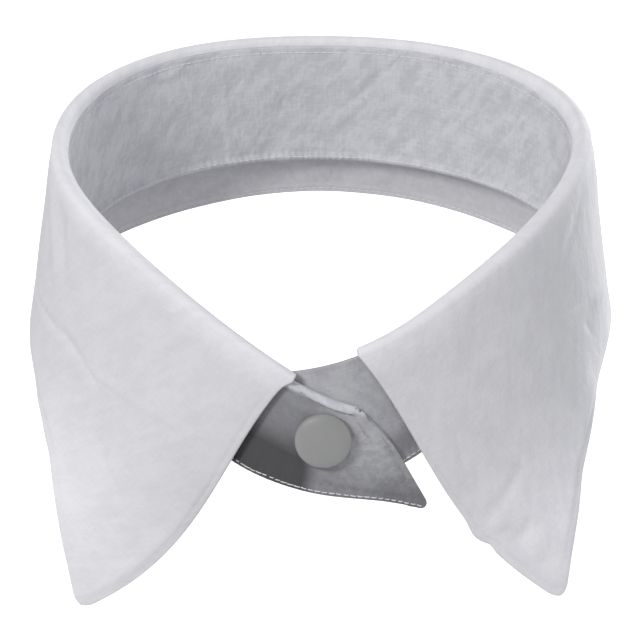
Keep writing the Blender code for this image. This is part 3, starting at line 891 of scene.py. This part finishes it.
def stitching(name):
    """Nodes that lay stitches along a path on the cloth. The path's points know which way is out."""
    tree = bpy.data.node_groups.new(name, "GeometryNodeTree")
    tree.interface.new_socket("Path", in_out="INPUT", socket_type="NodeSocketGeometry")
    kinds = {"Seed": "NodeSocketInt", "Finish": "NodeSocketMaterial"}
    for label in ("Pitch", "Length", "Thread", "Rise", "Turn", "Unevenness", "Seed", "Finish"):
        tree.interface.new_socket(label, in_out="INPUT", socket_type=kinds.get(label, "NodeSocketFloat"))
    tree.interface.new_socket("Stitches", in_out="OUTPUT", socket_type="NodeSocketGeometry")
    given = tree.nodes.new("NodeGroupInput").outputs

    def step(kind, settings, sockets, output=0):
        made = tree.nodes.new(kind)
        for label, value in settings.items():
            setattr(made, label, value)
        for label, value in sockets.items():
            if isinstance(value, bpy.types.NodeSocket):
                tree.links.new(value, made.inputs[label])
            else:
                made.inputs[label].default_value = value
        return made.outputs[output]

    def scaled(value, factor):
        return step("ShaderNodeMath", {"operation": "MULTIPLY"}, {0: value, 1: factor})

    half = scaled(given["Length"], 0.5)
    start = step("ShaderNodeCombineXYZ", {}, {"X": scaled(half, -1), "Z": scaled(given["Rise"], -1.2)})
    middle = step("ShaderNodeCombineXYZ", {}, {"Z": scaled(given["Rise"], 2)})
    end = step("ShaderNodeCombineXYZ", {}, {"X": half, "Z": scaled(given["Rise"], -1.2)})
    arc = step("GeometryNodeCurveQuadraticBezier", {},
               {"Resolution": 5, "Start": start, "Middle": middle, "End": end})
    section = step("GeometryNodeCurvePrimitiveCircle", {}, {"Resolution": 6, "Radius": given["Thread"]})
    thread = step("GeometryNodeCurveToMesh", {}, {"Curve": arc, "Profile Curve": section, "Fill Caps": True})
    thread = step("GeometryNodeSetShadeSmooth", {}, {0: thread})
    path = step("GeometryNodeMeshToCurve", {}, {"Mesh": given["Path"]})
    path = step("GeometryNodeResampleCurve", {"mode": "LENGTH"}, {"Curve": path, "Length": given["Pitch"]})
    outwards = step("GeometryNodeInputNamedAttribute", {"data_type": "FLOAT_VECTOR"}, {"Name": "outwards"})
    run = step("GeometryNodeInputTangent", {}, {})
    lie = step("FunctionNodeAxesToRotation", {"primary_axis": "Z", "secondary_axis": "X"},
               {"Primary Axis": outwards, "Secondary Axis": run})
    tilt = step("FunctionNodeRandomValue", {"data_type": "FLOAT_VECTOR"},
                {"Min": [-angle for angle in STITCH_TILT], "Max": STITCH_TILT, "Seed": given["Seed"]})
    turn = step("ShaderNodeCombineXYZ", {}, {"Z": given["Turn"]})
    tilt = step("ShaderNodeVectorMath", {"operation": "ADD"}, {0: tilt, 1: turn})
    tilt = step("FunctionNodeEulerToRotation", {}, {0: tilt})
    lie = step("FunctionNodeRotateRotation", {"rotation_space": "LOCAL"},
               {"Rotation": lie, "Rotate By": tilt})
    least = step("ShaderNodeMath", {"operation": "SUBTRACT"}, {0: 1.0, 1: given["Unevenness"]})
    size = step("FunctionNodeRandomValue", {"data_type": "FLOAT"},
                {2: least, 3: 1.0, "Seed": given["Seed"]}, 1)
    laid = step("GeometryNodeInstanceOnPoints", {},
                {"Points": path, "Instance": thread, "Rotation": lie, "Scale": size})
    laid = step("GeometryNodeRealizeInstances", {}, {"Geometry": laid})
    laid = step("GeometryNodeSetMaterial", {}, {"Geometry": laid, "Material": given["Finish"]})
    tree.links.new(laid, tree.nodes.new("NodeGroupOutput").inputs["Stitches"])
    return tree


def sampled(values, row, place):
    """Values of a sheet's grid at rows and columns that may lie between its own."""
    i = np.clip(np.floor(row).astype(int), 0, values.shape[0] - 2)
    j = np.clip(np.floor(place).astype(int), 0, values.shape[1] - 2)
    a, b = row - i, place - j
    if values.ndim == 3:
        a, b = a[:, None], b[:, None]
    upper = values[i, j] * (1 - b) + values[i, j + 1] * b
    lower = values[i + 1, j] * (1 - b) + values[i + 1, j + 1] * b
    return upper * (1 - a) + lower * a


thread_finish, shader = finish_of("cotton_thread", Roughness=0.6, Sheen_Weight=0.2, Specular_IOR_Level=0.3)
ply = Value(thread_finish.node_tree.nodes.new("ShaderNodeTexCoord").outputs["Object"]).noise(5200, 2, 0.6)
ply.mixed((0.78, 0.78, 0.81, 1), (0.9, 0.9, 0.92, 1)).into(shader, "Base Color")
ply.node("ShaderNodeBump", {}, {"Strength": 0.5, "Distance": 0.00006, "Height": ply}).into(shader, "Normal")
machine = stitching("laid_stitches")


def sewn_row(name, points, outwards, slot, seed, pitch=STITCH_PITCH, length=STITCH_LENGTH, turn=0.0,
             closed=False):
    """Stitches along one path, as a plain mesh."""
    mesh = bpy.data.meshes.new(name)
    edges = [(k, k + 1) for k in range(len(points) - 1)] + ([(len(points) - 1, 0)] if closed else [])
    mesh.from_pydata((points * MM).tolist(), edges, [])
    mesh.attributes.new("outwards", "FLOAT_VECTOR", "POINT").data.foreach_set("vector", outwards.ravel())
    path = bpy.data.objects.new(name, mesh)
    bpy.context.scene.collection.objects.link(path)
    nodes = path.modifiers.new("stitches", "NODES")
    nodes.node_group = machine
    inputs = {"Pitch": pitch * MM, "Length": length * MM, "Thread": THREAD_RADIUS * MM,
              "Rise": STITCH_RISE * MM, "Turn": turn, "Unevenness": STITCH_UNEVEN, "Seed": seed,
              "Finish": thread_finish}
    for item in machine.interface.items_tree:
        if item.name in inputs:
            nodes[item.identifier] = inputs[item.name]
    laid = bpy.data.meshes.new_from_object(path.evaluated_get(bpy.context.evaluated_depsgraph_get()))
    path.modifiers.remove(nodes)
    path.data = laid
    laid.name = name
    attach(path, "root")
    return path


def on_sheet(points, face, half, rows, columns, side, sunk=0.04):
    """A path on one face of a sheet, and its directions outwards: side is 1 outside and -1 inside."""
    normal = unit(sampled(face, rows, columns)) * side
    proud = sampled(half, rows, columns) + THREAD_RADIUS - sunk
    return sampled(points, rows, columns) + normal * proud[:, None], normal


def at_share(steps, share):
    """Place among a sheet's rows of points, whose steps these are, of a share of the way down it."""
    return np.interp(share, steps, np.arange(len(steps)))


def crossing(ways, way):
    """Place in each row of ways at which it reaches a way. The ways grow along the row."""
    return np.array([np.interp(way, row, np.arange(len(row))) for row in ways])


# The band's rows: one along its lower edge outside, one round all but its top edge inside, and the
# seam's row between the leaf's two corners
every = np.arange(BAND_SECTIONS)
height_here = band_height[0]
low_rows = at_share(down_steps, 1 - LOWER_ROW / height_here)
top_rows = at_share(down_steps, LOWER_ROW / height_here)
end_rows = np.arange(len(down_steps))
tab_columns = crossing(tab_way, LOWER_ROW)
lap_columns = crossing(-lap_way, -LOWER_ROW)
inside = (low_rows[0] - 0.5 > end_rows) & (end_rows > top_rows[0])
first, last = int(tab_columns[-2]) + 2, int(lap_columns[-2]) - 1
path_rows = np.concatenate([end_rows[inside], low_rows[first:last], end_rows[inside][::-1]])
path_columns = np.concatenate([tab_columns[inside], every[first:last], lap_columns[inside][::-1]])
lower = slice(int(inside.sum()), int(inside.sum()) + last - first)
on_band = (band_points, band_face, half_band)
outside_path = on_sheet(*on_band, path_rows[lower], path_columns[lower], 1)
inside_path = on_sheet(*on_band, path_rows, path_columns, -1)
first_corner, last_corner = (int(np.argmin(np.abs(turns[0] - LEAF_ROWS[k][0]))) for k in (0, -1))
seam = slice(first_corner + 2, last_corner - 2)
seam_rows = at_share(down_steps, UPPER_ROW / height_here)[seam]
seam_path = on_sheet(*on_band, seam_rows, every[seam].astype(float), -1)
rows = [sewn_row("band_stitches_outside", *outside_path, "band_cotton", 3),
        sewn_row("band_stitches_inside", *inside_path, "band_cotton", 5),
        sewn_row("seam_stitches", *seam_path, "band_cotton", 7)]

# The leaf's row: down one front edge from below the roll, along the hem, and up the other. It is looked
# for among the columns nearest each front edge, and turns this many columns short of the points.
FIRST_DOWN, FRONT_COLUMNS, SHORT_OF_POINT = 16, 80, 5
hem_rows = crossing(-to_hem.T, -HEM_ROW)
tab_front = crossing(to_front[:, :FRONT_COLUMNS], HEM_ROW)
lap_front = LEAF_SECTIONS - 1 - crossing(to_front[:, ::-1][:, :FRONT_COLUMNS], HEM_ROW)
down_front = np.arange(FIRST_DOWN, int(hem_rows[SHORT_OF_POINT - 1]))
hem = np.arange(SHORT_OF_POINT, LEAF_SECTIONS - SHORT_OF_POINT)
leaf_rows = np.concatenate([down_front, hem_rows[hem], down_front[::-1]]).astype(float)
leaf_columns = np.concatenate([tab_front[down_front], hem, lap_front[down_front[::-1]]]).astype(float)

# Close stitches bind the buttonhole, and a bar of thread holds the button at the back of the underlap
HOLE_STITCH = {"pitch": 0.42, "length": 1.5, "turn": math.pi / 2}
BAR_STITCH = {"pitch": 0.25, "length": 2.6, "turn": math.pi / 2}
RING_STEPS, RING_RADIUS, RING_BEND = 72, HOLE_WIDTH / 2 + 0.7, 60
BAR_STEPS, BAR_HALF = 9, 0.75
ABOVE_CLOTH = 0.1
placed = button_place()
across_tab, out_of_tab = (np.array(placed.to_3x3().col[k]) for k in (1, 2))
ring_angles = np.linspace(0, 2 * np.pi, RING_STEPS, endpoint=False)
cosines, sines = np.cos(ring_angles), np.sin(ring_angles)
ring_along = np.clip(cosines * HOLE_LENGTH, -half_hole, half_hole) + cosines * RING_RADIUS
ring = [Vector((x * MM, y * MM, (ABOVE_CLOTH - x * x / (2 * RING_BEND)) * MM))
        for x, y in zip(ring_along, sines * RING_RADIUS)]
ring_points = np.array([placed @ point for point in ring]) / MM
rows.append(sewn_row("buttonhole_stitches", ring_points, np.tile(out_of_tab, (RING_STEPS, 1)),
                     "band_cotton", 13, closed=True, **HOLE_STITCH))
bar_middle = band_point(*behind_button()) - out_of_tab * (BAND_WALL / 2 + ABOVE_CLOTH)
bar = bar_middle + np.linspace(-BAR_HALF, BAR_HALF, BAR_STEPS)[:, None] * across_tab
rows.append(sewn_row("button_thread", bar, np.tile(-out_of_tab, (BAR_STEPS, 1)),
                     "band_cotton", 17, **BAR_STITCH))
hem_path = on_sheet(leaf_points, facing(leaf_points), leaf_under, leaf_rows, leaf_columns, -1)
leaf_stitches = sewn_row("hem_stitches", *hem_path, "leaf_cotton", 11)
